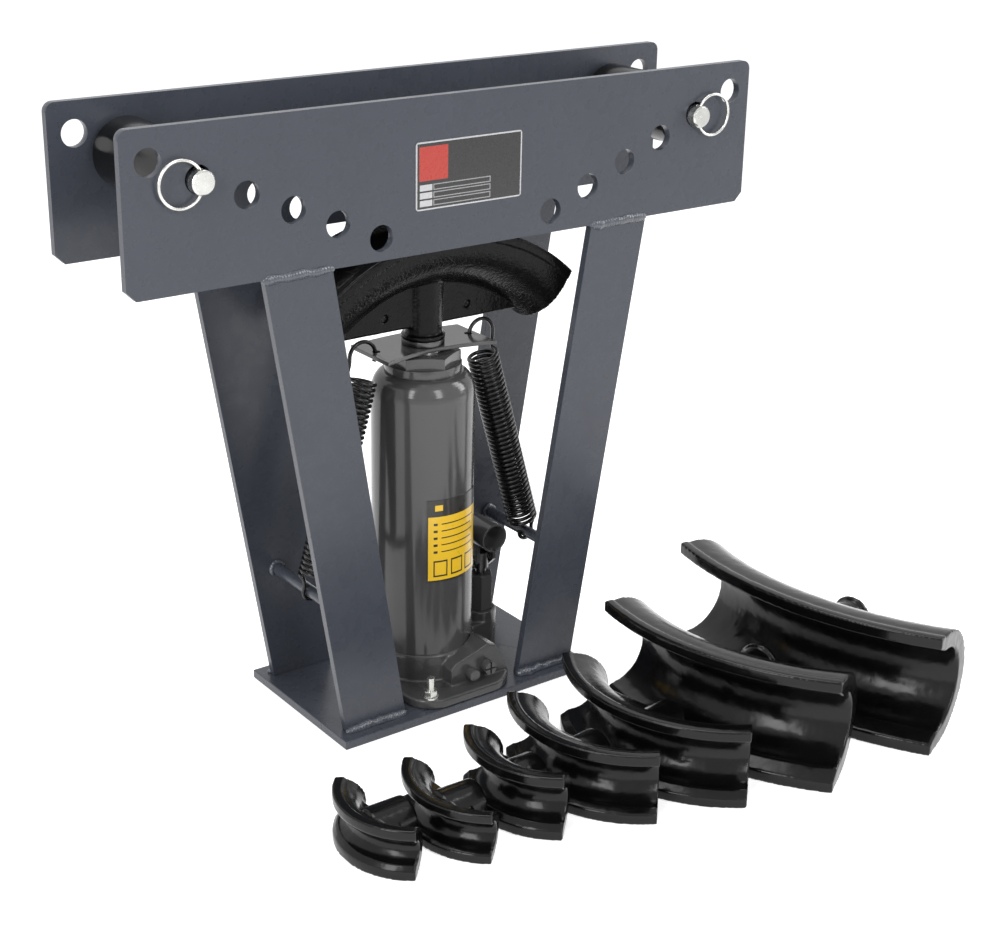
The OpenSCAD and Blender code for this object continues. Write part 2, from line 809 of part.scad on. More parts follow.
// tube for the pump handle on a fork that rocks on the casting's lug
module handle_socket() {
    color(jack_c) difference() {
        union() {
            rod_y(pump_x, socket_z, socket_front, socket_front + socket_l, 2 * socket_r);
            for (x = [-fork_in - fork_t, fork_in])
                translate([pump_x + x, fulcrum_y, link_z]) rotate([90, 0, 90])
                    linear_extrude(fork_t) fork_outline();
        }
        rod_y(pump_x, socket_z, socket_front - cut, socket_front + socket_l + cut,
            socket_bore);
        translate([pump_x - head_d, 0, 0]) {
            rod_x_dir(fulcrum_y, link_z, 0, 2 * head_d, link_pin_d + 2 * run_fit);
            for (y = [pump_y - slot_reach, pump_y + seat_gap])
                rod_x_dir(y, link_z, 0, 2 * head_d, link_pin_d + 2 * slot_play);
            span([0, pump_y - slot_reach, link_z - link_pin_d / 2 - slot_play],
                [2 * head_d, pump_y + seat_gap, link_z + link_pin_d / 2 + slot_play]);
        }
        span([pump_x - slot_w, socket_front - cut, socket_z - socket_r - cut],
            [pump_x + slot_w, socket_front + 3 * slot_w, socket_z]);
    }
}

// a headed pin across the fork
module fork_pin(y) {
    out = fork_in + fork_t + seat_gap;
    color(zinc_c) translate([pump_x, 0, 0]) {
        rod_x_dir(y, link_z, -out - pin_head_t, out + pin_head_t, link_pin_d);
        for (x = [-out - pin_head_t, out])
            rod_x_dir(y, link_z, x, x + pin_head_t, link_pin_d + 2 * pin_lip);
    }
}

module plunger_pin() {
    fork_pin(pump_y);
}

module fulcrum_pin() {
    fork_pin(fulcrum_y);
}

// ball of the delivery valve, below the pump
module valve_ball() {
    color(steel_c) translate([pump_x, pump_y, ball_z - seat_gap]) sphere(d = ball_d);
}

// screw with a cross slot for the end of the handle
module release_valve() {
    foot = valve_face_y - seat_gap;
    color(jack_c) difference() {
        union() {
            rod_y(release_x, valve_z, foot - release_l, foot, release_d);
            rod_y(release_x, valve_z, foot - cut, foot + valve_seat_l, valve_seat_d);
        }
        for (a = [0, 90])
            translate([release_x, foot - release_l, valve_z]) rotate([0, a, 0])
                span([-release_d, -cut, -slot_w / 2], [release_d, slot_depth, slot_w / 2]);
    }
}

// capped screw of the overload valve
module safety_valve() {
    color(jack_c) {
        rod_y(safety_x, valve_z - safety_drop, valve_face_y - safety_l, valve_face_y,
            safety_d);
        rod_y(safety_x, valve_z - safety_drop, valve_face_y - cut,
            valve_face_y + valve_seat_l, valve_seat_d);
    }
}

// round bar with chamfered ends and a cross hole for the pull ring
module roller_pin(side) {
    r = pin_d / 2;
    color(zinc_c) translate([side * pin_x, 0, pin_z]) difference() {
        rotate([-90, 0, 0]) rotate_extrude() polygon([[0, pin_front_y],
            [r - pin_chamfer, pin_front_y], [r, pin_front_y + pin_chamfer],
            [r, pin_back_y - pin_chamfer], [r - pin_chamfer, pin_back_y], [0, pin_back_y]]);
        translate([0, ring_y, -pin_d]) cylinder(h = 2 * pin_d, d = ring_hole_d);
    }
}

// wire ring through the pin's cross hole
module pull_ring(side) {
    color(zinc_c) translate([side * (pin_x + ring_r - ring_rise / 2), ring_y, pin_z])
        rotate([90, 0, 0]) rotate_extrude() translate([ring_r, 0]) circle(d = ring_wire);
}

// cast roller with rounded rims that spins on its pin
module roller(side) {
    r = roller_d / 2;
    e = roller_edge;
    l = roller_l / 2;
    bore_r = pin_d / 2 + roller_clear;
    color(cast_c) translate([side * pin_x, 0, pin_z]) rotate([-90, 0, 0])
        rotate_extrude() union() {
            translate([bore_r, -l]) square([r - e - bore_r, 2 * l]);
            translate([bore_r, -l + e]) square([r - bore_r, 2 * l - 2 * e]);
            for (z = [-l + e, l - e]) translate([r - e, z]) circle(e);
        }
}

// depth of the groove's middle below the rims
function groove_in(i) = groove_share * pipe_d[i];
function groove_r(i) = pipe_d[i] / 2 + bore_fit;
function former_w(i) = 2 * (groove_r(i) + lip_t[i]);
// depth of the channel's back below the rims
function back_in(i) = groove_in(i) + groove_r(i) + lip_t[i] - rim_step;

// half section of the channel before its groove is cut: flat rims and a round back
module channel(i) {
    r = rim_r[i];
    w = former_w(i);
    back_r = w / 2 - rim_step;
    translate([r - rim_w, -w / 2]) square([rim_w, w]);
    translate([r - groove_in(i), -back_r]) square([groove_in(i) - rim_step, 2 * back_r]);
    intersection() {
        translate([r - groove_in(i), 0]) circle(back_r);
        translate([0, -w]) square([r - groove_in(i) + rim_step, 2 * w]);
    }
}

// section of the pipe's groove: round at the bottom, flared to the rims
module groove(i) {
    r = rim_r[i];
    mouth = former_w(i) / 2 - mouth_rim[i];
    translate([r - groove_in(i), 0]) circle(groove_r(i));
    polygon([[r - groove_in(i), -groove_r(i)], [r, -mouth], [r + cut, -mouth],
        [r + cut, mouth], [r, mouth], [r - groove_in(i), groove_r(i)]]);
}

// wedge between the end faces, about the arc's centre, drawn in by d
module wedge(i, d) {
    r = rim_r[i];
    a = half_arc[i] - end_skew;
    apex = r * cos(half_arc[i]) - r * sin(half_arc[i]) / tan(a) + d / sin(a);
    reach = r + cut - apex;
    polygon([[0, apex], [reach * tan(a), r + cut], [-reach * tan(a), r + cut]]);
}

// one former with its crown at the origin, facing up, and its boss hanging down
module former_shape(i) {
    r = rim_r[i];
    a = half_arc[i] + end_skew;
    w = former_w(i);
    long = former_h[i] > long_from;
    chord_z = web_rise - min(r * (1 - cos(half_arc[i])) + back_in(i) * cos(half_arc[i] - end_skew),
        former_h[i] - mouth_out + web_rise);
    difference() {
        union() {
            translate([0, 0, -r]) rotate([90, 0, 0]) {
                intersection() {
                    rotate([0, 0, 90 - a]) rotate_extrude(angle = 2 * a) channel(i);
                    translate([0, 0, -w]) linear_extrude(2 * w) wedge(i, 0);
                }
                translate([0, 0, -web_t[i] / 2]) linear_extrude(web_t[i]) intersection() {
                    circle(r - back_in(i) + web_in);
                    wedge(i, web_inset);
                    translate([-r, r + chord_z]) square([2 * r, 2 * r]);
                }
            }
            translate([0, 0, -former_h[i]]) cylinder(
                h = former_h[i] - back_in(i) + web_in, d1 = boss_d, d2 = boss_d + boss_flare);
            if (long)
                translate([0, 0, -former_h[i]]) cylinder(h = boss_rim_h, d = boss_rim_d);
        }
        translate([0, 0, -r]) rotate([90, 0, 0]) rotate([0, 0, 90 - a])
            rotate_extrude(angle = 2 * a) groove(i);
        translate([0, 0, -former_h[i] - cut])
            cylinder(h = spigot_h + seat_gap + cut, d = spigot_d + 2 * bore_fit);
        if (long)
            for (s = [-1, 1])
                translate([s * web_hole_share * r * sin(half_arc[i]), web_t[i],
                    chord_z + web_hole_in])
                    rotate([90, 0, 0]) cylinder(h = 2 * web_t[i], d = web_hole_d);
    }
}

// the mounted former stands on the ram, the others lie on their sides on the floor
module former(i) {
    color(cast_c)
        if (i == mounted_n)
            translate([0, 0, boss_mouth_z + former_h[i]]) former_shape(i);
        else
            translate([crown_x[i], crown_y[i], former_w(i) / 2])
                rotate([0, 0, facing[i]]) rotate([90, 0, 90]) former_shape(i);
}

module rating_plate() {
    color("dimgray") translate([0, -face_out, beam_z + beam_h / 2]) rotate([90, 0, 0])
        linear_extrude(label_t) round_rect(label_l, label_h, label_corner);
}

// label that wraps the front of the tank
module tank_label() {
    color("gold") translate([0, 0, sticker_z])
        rotate([0, 0, sticker_turn - sticker_arc]) rotate_extrude(angle = 2 * sticker_arc)
            translate([tank_r + label_gap, 0]) square([label_t, sticker_h]);
}

base_plate();
front_beam();
back_beam();
leg(-1, -face_out);  // leg_front_left
leg(1, -face_out);  // leg_front_right
leg(-1, face_in);  // leg_back_left
leg(1, face_in);  // leg_back_right
beam_welds();
foot_welds();
cross_rod(-1);  // rod_left
cross_rod(1);  // rod_right
rod_welds();
jack_casting();
oil_tank();
pressure_cylinder();
tank_nut();
tank_seal();
cylinder_gasket();
filler_plug();
ram();
ram_piston();
piston_seal();
ram_collar();
spring_plate();
spring_left();
spring_right();
stud_set();
stud_nuts();
stud_washers();
pump_body();
pump_plunger();
plunger_seal();
handle_socket();
plunger_pin();
fulcrum_pin();
valve_ball();
release_valve();
safety_valve();
roller(-1);  // roller_left
roller(1);  // roller_right
roller_pin(-1);  // pin_left
roller_pin(1);  // pin_right
pull_ring(-1);  // ring_left
pull_ring(1);  // ring_right
former(0);  // former_dn15
former(1);  // former_dn20
former(2);  // former_dn25
former(3);  // former_dn32
former(4);  // former_dn40
former(5);  // former_dn50
former(6);  // former_dn65
former(7);  // former_dn80
rating_plate();
tank_label();
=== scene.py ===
import math

import bpy
import numpy as np
from mathutils import Matrix, Vector


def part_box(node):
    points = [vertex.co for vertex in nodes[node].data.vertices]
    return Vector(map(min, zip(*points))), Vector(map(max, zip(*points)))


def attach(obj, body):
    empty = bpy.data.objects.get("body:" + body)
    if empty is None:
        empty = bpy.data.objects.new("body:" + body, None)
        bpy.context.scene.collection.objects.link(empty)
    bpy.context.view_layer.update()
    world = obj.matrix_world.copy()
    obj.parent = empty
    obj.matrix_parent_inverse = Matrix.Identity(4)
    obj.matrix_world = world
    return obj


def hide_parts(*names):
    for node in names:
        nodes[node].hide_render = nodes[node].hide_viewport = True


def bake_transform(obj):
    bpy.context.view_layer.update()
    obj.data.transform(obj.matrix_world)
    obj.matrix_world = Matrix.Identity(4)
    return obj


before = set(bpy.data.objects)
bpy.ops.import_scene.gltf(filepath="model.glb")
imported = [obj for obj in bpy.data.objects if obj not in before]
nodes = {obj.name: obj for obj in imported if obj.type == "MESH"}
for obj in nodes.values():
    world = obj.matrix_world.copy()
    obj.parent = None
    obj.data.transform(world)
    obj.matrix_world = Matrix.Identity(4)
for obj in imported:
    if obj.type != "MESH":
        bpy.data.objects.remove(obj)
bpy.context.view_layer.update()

# The camera stands to the left of the bender, a little above it, as in the photograph.
# Its place and lens were solved from the edges of the frame and the base plate.
camera_at = Vector((-0.9830, -1.4376, 0.9251))
camera_looks = Vector((0.5586, 0.7465, -0.3616)).normalized()
camera_roll = math.radians(1.10)

level = camera_looks.cross(Vector((0, 0, 1))).normalized()
upward = level.cross(camera_looks).normalized()
right = level * math.cos(camera_roll) + upward * math.sin(camera_roll)
upward = right.cross(camera_looks).normalized()
camera_data = bpy.data.cameras.new("camera")
camera_data.sensor_width = 36
camera_data.lens = 66.17
camera_data.shift_x = 0.0043
camera_data.shift_y = -0.0077
camera_data.clip_end = 50
camera = bpy.data.objects.new("camera", camera_data)
camera.matrix_world = Matrix((
    (right.x, upward.x, -camera_looks.x, camera_at.x),
    (right.y, upward.y, -camera_looks.y, camera_at.y),
    (right.z, upward.z, -camera_looks.z, camera_at.z),
    (0, 0, 0, 1)))
bpy.context.scene.collection.objects.link(camera)
bpy.context.scene.camera = camera
bpy.context.scene.view_settings.view_transform = "Standard"

# The frame's steel: flat bar and plate, sprayed in a blue-grey satin paint with a fine
# orange peel. Sharp edges were broken before painting, so each plate keeps a small round.
frame_blue_grey = (0.050, 0.056, 0.071)
plate_round = 0.0009


def shader(name):
    """A new material, its node tree, its surface shader and the object coordinates."""
    made = bpy.data.materials.new(name)
    made.use_nodes = True
    tree = made.node_tree
    where = tree.nodes.new("ShaderNodeTexCoord")
    return made, tree, tree.nodes["Principled BSDF"], where.outputs["Object"]


def noise(tree, where, size, detail=3.0):
    """A noise pattern whose lumps are about size metres across."""
    made = tree.nodes.new("ShaderNodeTexNoise")
    made.inputs["Scale"].default_value = 1.0 / size
    made.inputs["Detail"].default_value = detail
    tree.links.new(where, made.inputs["Vector"])
    return made.outputs["Fac"]


def spread(tree, value, low, high):
    """A noise's middle range, which it seldom leaves, stretched over low to high."""
    middle_from, middle_to = 0.3, 0.7
    made = tree.nodes.new("ShaderNodeMapRange")
    made.inputs["From Min"].default_value = middle_from
    made.inputs["From Max"].default_value = middle_to
    made.inputs["To Min"].default_value = low
    made.inputs["To Max"].default_value = high
    tree.links.new(value, made.inputs["Value"])
    return made.outputs["Result"]


def tinted(tree, value, dark, light):
    """A colour that runs from dark to light with the value."""
    made = tree.nodes.new("ShaderNodeMix")
    made.data_type = "RGBA"
    made.inputs["A"].default_value = (*dark, 1)
    made.inputs["B"].default_value = (*light, 1)
    tree.links.new(spread(tree, value, 0, 1), made.inputs["Factor"])
    return made.outputs["Result"]


def bumped(tree, heights):
    """A surface normal raised by each (height, depth in metres) in turn."""
    normal = None
    for height, depth in heights:
        made = tree.nodes.new("ShaderNodeBump")
        made.inputs["Distance"].default_value = depth
        tree.links.new(height, made.inputs["Height"])
        if normal is not None:
            tree.links.new(normal, made.inputs["Normal"])
        normal = made.outputs["Normal"]
    return normal


def paint(name, colour, rough, peel, peel_depth, cloud=0.05, grit=0.0, coat=0.0, shine=0.5):
    """Sprayed paint. Its skin has lumps peel metres across and, where grit is a depth, finer
    ones on top; its tone is cloudy by a share, and its gloss changes from patch to patch."""
    cloud_size, patch_size = 0.06, 0.012
    glossier, duller = 0.04, 0.05
    grit_share = 0.3
    coat_rough = 0.12
    made, tree, surface, where = shader(name)
    tone = noise(tree, where, cloud_size)
    dark = [c * (1 - cloud) for c in colour]
    light = [c * (1 + cloud) for c in colour]
    tree.links.new(tinted(tree, tone, dark, light), surface.inputs["Base Color"])
    patches = noise(tree, where, patch_size, 5)
    tree.links.new(spread(tree, patches, rough - glossier, rough + duller),
                   surface.inputs["Roughness"])
    heights = [(noise(tree, where, peel, 1.5), peel_depth)]
    if grit:
        heights.append((noise(tree, where, peel * grit_share, 4), grit))
    tree.links.new(bumped(tree, heights), surface.inputs["Normal"])
    surface.inputs["Specular IOR Level"].default_value = shine
    surface.inputs["Coat Weight"].default_value = coat
    surface.inputs["Coat Roughness"].default_value = coat_rough
    return made


def dress(material, *names):
    """Gives CAD nodes their material."""
    for name in names:
        nodes[name].data.materials.clear()
        nodes[name].data.materials.append(material)


def soften(width, *names):
    """Breaks the sharp edges of CAD nodes with a small round, by modifiers alone."""
    same_point = 0.00002
    sharp_angle = math.radians(40)
    for name in names:
        merge = nodes[name].modifiers.new("merge", "WELD")
        merge.merge_threshold = same_point
        edge = nodes[name].modifiers.new("edge", "BEVEL")
        edge.width = width
        edge.segments = 3
        edge.limit_method = "ANGLE"
        edge.angle_limit = sharp_angle
        edge.harden_normals = True


frame_paint = paint("frame_paint", frame_blue_grey, rough=0.28, peel=0.0060,
                    peel_depth=0.000003, cloud=0.03, shine=0.40)
frame_nodes = ["base_plate", "front_beam", "back_beam", "leg_front_left", "leg_front_right",
               "leg_back_left", "leg_back_right"]
dress(frame_paint, *frame_nodes, "rod_left", "rod_right")
soften(plate_round, *frame_nodes)

# Weld beads: laid by hand in short ripples, with a wandering edge, and painted over with the
# frame.
# Their paint is 15% lighter than the frame's, a painted highlight. They join legs to beams,
# legs to the base plate and the spring rods to the legs.
beam_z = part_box("front_beam")[0].z
beam_face = -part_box("front_beam")[0].y
base_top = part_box("base_plate")[1].z
leg_low, leg_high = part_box("leg_front_right")
leg_w = 0.070
leg_foot_x = leg_low.x + leg_w / 2
leg_top_x = leg_high.x - leg_w / 2
rod_low, rod_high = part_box("rod_right")
rod_x = (rod_low.x + rod_high.x) / 2
rod_z = (rod_low.z + rod_high.z) / 2
rod_r = (rod_high.x - rod_low.x) / 2

bead_sides = 14
line_points = 150
line_over = 0.002
beam_bead_r = 0.0042
beam_bead_flat = 0.62
beam_bead_in = 0.0006
foot_bead_r = 0.0047
foot_bead_out = 0.0016
foot_bead_up = 0.0014
ring_points = 90
rod_bead_r = 0.0026
rod_bead_in = 0.0092
ring_r = rod_r + 0.0010


def grid_mesh(name, grids):
    """One mesh from grids of points (stations, sides, 3); each grid is a tube whose ends
    are closed by a fan to a point in the middle of the end ring."""
    points, faces, start = [], [], 0
    for grid in grids:
        stations, sides = grid.shape[:2]
        points += [grid.reshape(-1, 3), grid[:1].mean(1), grid[-1:].mean(1)]
        i, k = np.meshgrid(np.arange(stations - 1), np.arange(sides), indexing="ij")
        a = start + i * sides + k
        b = start + i * sides + (k + 1) % sides
        faces.append(np.stack([a, b, b + sides, a + sides], -1).reshape(-1, 4))
        first_tip = start + stations * sides
        last = first_tip - sides
        k = np.arange(sides)
        after = (k + 1) % sides
        faces.append(np.stack([start + after, start + k, np.full(sides, first_tip)], -1))
        faces.append(np.stack([last + k, last + after, np.full(sides, first_tip + 1)], -1))
        start = first_tip + 2
    mesh = bpy.data.meshes.new(name)
    mesh.from_pydata(np.concatenate(points).tolist(), [],
                     [f for part in faces for f in part.tolist()])
    mesh.polygons.foreach_set("use_smooth", np.ones(len(mesh.polygons), bool))
    mesh.update()
    made = bpy.data.objects.new(name, mesh)
    bpy.context.scene.collection.objects.link(made)
    return made


def tube(path, radius, sides, flat=1.0):
    """A ring of one radius per point, carried along a path without twisting: each ring's
    first direction, flat times the radius, is the last one's made square to the path."""
    radius = np.broadcast_to(np.asarray(radius, float), len(path))
    along = np.gradient(path, axis=0)
    along /= np.linalg.norm(along, axis=1)[:, None]
    side = np.empty_like(path)
    last = np.array([0.0, 1, 0])
    for n, t in enumerate(along):
        last = last - t * (last @ t)
        last = last / np.linalg.norm(last)
        side[n] = last
    other = np.cross(along, side)
    turn = np.linspace(0, 2 * np.pi, sides, endpoint=False)
    ring = (side[:, None] * np.cos(turn)[None, :, None] * flat
            + other[:, None] * np.sin(turn)[None, :, None])
    return path[:, None] + ring * radius[:, None, None]


def bead(path, radius, seed, flat=1.0):
    """A weld bead: a tube that swells once a ripple, is thicker or thinner from one knot of
    its run to the next, strays a little from its line and draws in at both ends."""
    knot_gap, stray_by, swell_by = 0.006, 0.0006, 0.13
    ripple_len, ripple_by = 0.0028, 0.10
    taper_len, tip_share = 1.2 * radius, 0.02
    luck = np.random.default_rng(seed)
    run = np.concatenate([[0], np.cumsum(np.linalg.norm(np.diff(path, axis=0), axis=1))])
    knots = np.linspace(0, run[-1], max(4, int(run[-1] / knot_gap)))
    stray = np.stack([np.interp(run, knots, luck.normal(0, stray_by, len(knots)))
                      for _ in range(3)], -1)
    swell = np.interp(run, knots, luck.normal(1, swell_by, len(knots)))
    ripple = 1 + ripple_by * np.abs(np.sin(np.pi * run / ripple_len))
    ends = np.clip(np.minimum(run, run[-1] - run) / taper_len, tip_share, 1) ** 0.5
    return tube(path + stray, radius * swell * ripple * ends, bead_sides, flat)


def across_leg(x, y, z):
    """A straight line over the width of a leg and a little past both its edges."""
    run = np.linspace(-0.5, 0.5, line_points) * (leg_w + 2 * line_over)
    return np.stack([x + run, np.full(line_points, y), np.full(line_points, z)], -1)


beads = []
seed = 11
turn = np.linspace(0, 2 * np.pi, ring_points)
for side_x in (-1, 1):
    for side_y in (-1, 1):
        top = across_leg(side_x * leg_top_x, side_y * (beam_face - beam_bead_in), beam_z)
        foot = across_leg(side_x * leg_foot_x, side_y * (beam_face + foot_bead_out),
                          base_top + foot_bead_up)
        ring = np.stack([side_x * rod_x + ring_r * np.cos(turn),
                         np.full(ring_points, side_y * (beam_face - rod_bead_in)),
                         rod_z + ring_r * np.sin(turn)], -1)
        beads.append(("bead_beam", bead(top, beam_bead_r, seed, beam_bead_flat)))
        beads.append(("bead_foot", bead(foot, foot_bead_r, seed + 1)))
        beads.append(("bead_rod", bead(ring, rod_bead_r, seed + 2)))
        seed += 7
# Frame paint made 15% lighter: a painted highlight on the beads.
bead_highlight_paint = paint("bead_highlight_paint", [c * 1.15 for c in frame_blue_grey], rough=0.16,
                   peel=0.0022, peel_depth=0.00016, coat=0.4)
for name, node in (("bead_beam", "beam_welds"), ("bead_foot", "foot_welds"),
                   ("bead_rod", "rod_welds")):
    piece = grid_mesh(name, [g for kind, g in beads if kind == name])
    piece.data.materials.append(bead_highlight_paint)
    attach(piece, "frame")
    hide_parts(node)

# The jack's foot: an iron casting with a rough sand-cast skin under the grey gloss paint.
# The studs hold it to the base plate; the valve block and the pump boss are part of it.
jack_grey = (0.060, 0.060, 0.062)
fine_voxel = 0.0012
foot_lumps = 0.006


def cast(name, voxel, lump_size):
    """Rounds a CAD node as a casting and gives it a lumpy skin, by modifiers alone: small
    voxels close it, smoothing rounds its edges, and clouds push its skin in and out."""
    smooth_passes = 3
    lump_depth = 0.0004
    node = nodes[name]
    skin = node.modifiers.new("skin", "REMESH")
    skin.mode = "VOXEL"
    skin.voxel_size = voxel
    skin.use_smooth_shade = True
    flow = node.modifiers.new("flow", "SMOOTH")
    flow.iterations = smooth_passes
    flow.factor = 0.5
    cloud = bpy.data.textures.new(name + "_lumps", "CLOUDS")
    cloud.noise_scale = lump_size
    cloud.noise_depth = 2
    rough = node.modifiers.new("rough", "DISPLACE")
    rough.texture = cloud
    rough.texture_coords = "LOCAL"
    rough.strength = lump_depth
    rough.mid_level = 0.5


casting_paint = paint("casting_paint", [c * 0.85 for c in jack_grey], rough=0.22,
                      peel=0.0022, peel_depth=0.00014, grit=0.00004, coat=0.1, shine=0.4)
dress(casting_paint, "jack_casting")
cast("jack_casting", fine_voxel, foot_lumps)

# Studs, nuts and washers: steel, plated bright with zinc that has a faint yellow cast and
# fine scuffs. They hold the jack's foot at three corners; the valve block takes the fourth.
zinc_bright = (0.60, 0.60, 0.575)
turned_round = 0.0006


def metal(name, colour, rough, scuff, scuff_depth, stretch=(1, 1, 1)):
    """Bare or plated steel: scuffs in the polish, and a cloudy tone in the plating."""
    cloud_size = 0.02
    darker, lighter = 0.86, 1.1
    glossier, duller = 0.05, 0.08
    made, tree, surface, where = shader(name)
    turned = tree.nodes.new("ShaderNodeMapping")
    turned.inputs["Scale"].default_value = stretch
    tree.links.new(where, turned.inputs["Vector"])
    tone = noise(tree, where, cloud_size)
    tree.links.new(tinted(tree, tone, [c * darker for c in colour],
                          [c * lighter for c in colour]), surface.inputs["Base Color"])
    scuffs = noise(tree, turned.outputs["Vector"], scuff, 2)
    tree.links.new(spread(tree, scuffs, rough - glossier, rough + duller),
                   surface.inputs["Roughness"])
    tree.links.new(bumped(tree, [(scuffs, scuff_depth)]), surface.inputs["Normal"])
    surface.inputs["Metallic"].default_value = 1.0
    return made


zinc = metal("zinc", zinc_bright, rough=0.22, scuff=0.0030, scuff_depth=0.000004)
dress(zinc, "stud_set", "stud_nuts", "stud_washers")
soften(turned_round, "stud_nuts")

# Ram, piston and pressure cylinder: steel ground bright where the seals run, with fine
# marks round the axis. The ring nut that holds the spring plate is dark with oil.
ground_steel = (0.52, 0.52, 0.53)
oiled_grey = (0.10, 0.10, 0.102)
steel = metal("turned_steel", ground_steel, rough=0.24, scuff=0.0008, scuff_depth=0.000002,
              stretch=(1, 1, 6))
dress(steel, "ram", "ram_piston", "pressure_cylinder", "valve_ball")
dark_steel = metal("oiled_steel", oiled_grey, rough=0.30, scuff=0.0010, scuff_depth=0.000004)
dress(dark_steel, "ram_collar")
soften(turned_round, "ram_collar")

# Oil tank, head nut, valves and spring plate: machined or pressed steel in a smooth grey
# gloss paint. The tank is a tube drawn in at its shoulder, so it has no edge to soften.
jack_round = 0.0005
jack_paint = paint("jack_paint", jack_grey, rough=0.15, peel=0.006, peel_depth=0.000004,
                   cloud=0.02)
jack_nodes = ["tank_nut", "spring_plate", "release_valve", "safety_valve"]
dress(jack_paint, "oil_tank", *jack_nodes)
soften(jack_round, *jack_nodes)

# Hand pump: a barrel and a forked handle socket in the jack's paint, a plunger of bare
# oiled steel, and two zinc-plated pins, on which the socket and the plunger turn.
pump_nodes = ["pump_body", "handle_socket"]
dress(jack_paint, *pump_nodes)
dress(dark_steel, "pump_plunger")
dress(zinc, "plunger_pin", "fulcrum_pin")
soften(jack_round, *pump_nodes)

# Seals and the filler plug: moulded oil-proof rubber. The gasket under the cylinder is
# pressed fibre. None of them but the plug shows from outside.
plug_round = 0.0008
rubber_black = (0.014, 0.014, 0.014)
fibre_brown = (0.33, 0.2, 0.1)
rubber = paint("black_rubber", rubber_black, rough=0.55, peel=0.0010, peel_depth=0.00003)
fibre = paint("fibre", fibre_brown, rough=0.8, peel=0.0008, peel_depth=0.0001, cloud=0.2)
dress(rubber, "tank_seal", "piston_seal", "plunger_seal", "filler_plug")
dress(fibre, "cylinder_gasket")
soften(plug_round, "filler_plug")

# Return springs: close-wound from black wire, with a loop at the foot that hangs on the
# cross rod and one at the top that goes through the spring plate. They stretch as the ram
# goes up; each runs between the frame and the ram.
spring_wire_black = (0.005, 0.005, 0.0055)
wire_d = 0.0040
wire_sides = 10
coil_r = 0.0148
curls = 38
curl_points = 26
coil_low = 0.015
coil_high = 0.024
bridge_points = 8
foot_leaves, foot_arrives = 1.2, 1.1
head_leaves, head_arrives = 0.7, 1.2
hook_turn = 210
hook_slack = 0.0003
hook_r = rod_r + wire_d / 2 + hook_slack
plate_low, plate_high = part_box("spring_plate")
plate_mid_z = (plate_low.z + plate_high.z) / 2
head_hook_out = 0.0065
head_axis_out = 0.002
axis_foot = np.array([rod_x, 0, rod_z])
axis_head = np.array([plate_high.x + head_axis_out, 0, plate_mid_z])
axis_len = np.linalg.norm(axis_head - axis_foot)
axis_w = (axis_head - axis_foot) / axis_len
axis_u = np.array([axis_w[2], 0, -axis_w[0]])
axis_v = np.array([0.0, 1, 0])
sideways = np.array([1.0, 0, 0])
straight_up = np.array([0, 0, 1.0])


def arc(middle, radius, one, other, start, end, count):
    """Points on a circle from start to end degrees, in the plane of two directions."""
    a = np.radians(np.linspace(start, end, count))[:, None]
    return middle + radius * (one * np.cos(a) + other * np.sin(a))


def bridge(p, t, q, u, count):
    """A smooth line that leaves p along t and comes to q along u: a cubic in s, whose four
    weights give the two points and the two directions their shares."""
    s = np.linspace(0, 1, count + 2)[1:-1, None]
    return ((2 * s**3 - 3 * s**2 + 1) * p + (s**3 - 2 * s**2 + s) * t
            + (3 * s**2 - 2 * s**3) * q + (s**3 - s**2) * u)


turns = np.radians(np.linspace(0, 360 * curls, curls * curl_points + 1))[:, None]
coil_len = axis_len - coil_low - coil_high
coil = (axis_foot + axis_w * (coil_low + coil_len * turns / turns[-1])
        + coil_r * (axis_u * np.cos(turns) + axis_v * np.sin(turns)))
foot_loop = arc(axis_foot, hook_r, axis_u, axis_w, -hook_turn, 0, curl_points)
head_middle = np.array([plate_high.x + head_hook_out, 0, plate_mid_z])
head_loop = arc(head_middle, coil_r, sideways, straight_up, 0, hook_turn, curl_points)
spring_line = np.concatenate([
    foot_loop,
    bridge(foot_loop[-1], axis_w * coil_low * foot_leaves,
           coil[0], axis_v * coil_low * foot_arrives, bridge_points),
    coil,
    bridge(coil[-1], axis_v * coil_high * head_leaves,
           head_loop[0], straight_up * coil_high * head_arrives, bridge_points),
    head_loop])
spring_black = paint("spring_black", spring_wire_black, rough=0.24, peel=0.0012,
                     peel_depth=0.00001, coat=0.12, shine=0.3)
for name, mirror in (("spring_left", -1), ("spring_right", 1)):
    line = spring_line * (mirror, 1, 1)
    piece = grid_mesh(name + "_wire", [tube(line, wire_d / 2, wire_sides)])
    piece.data.materials.append(spring_black)
    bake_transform(piece)
    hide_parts(name)

# Rollers: cast iron in thick black gloss, turned smooth where the pipe runs. Each turns
# on its own pin between the two beams.
gloss_black = (0.003, 0.003, 0.0033)
black_gloss = paint("black_gloss", gloss_black, rough=0.18, peel=0.0050, peel_depth=0.00004,
                    cloud=0.1, grit=0.00003, shine=0.28)
dress(black_gloss, "roller_left", "roller_right")

# Roller pins and pull rings: round bar, turned and zinc plated, that pulls out to the
# front, and a ring of zinc-plated wire that hangs in a hole through each pin's head.
dress(zinc, "pin_left", "pin_right", "ring_left", "ring_right")
soften(turned_round, "pin_left", "pin_right")

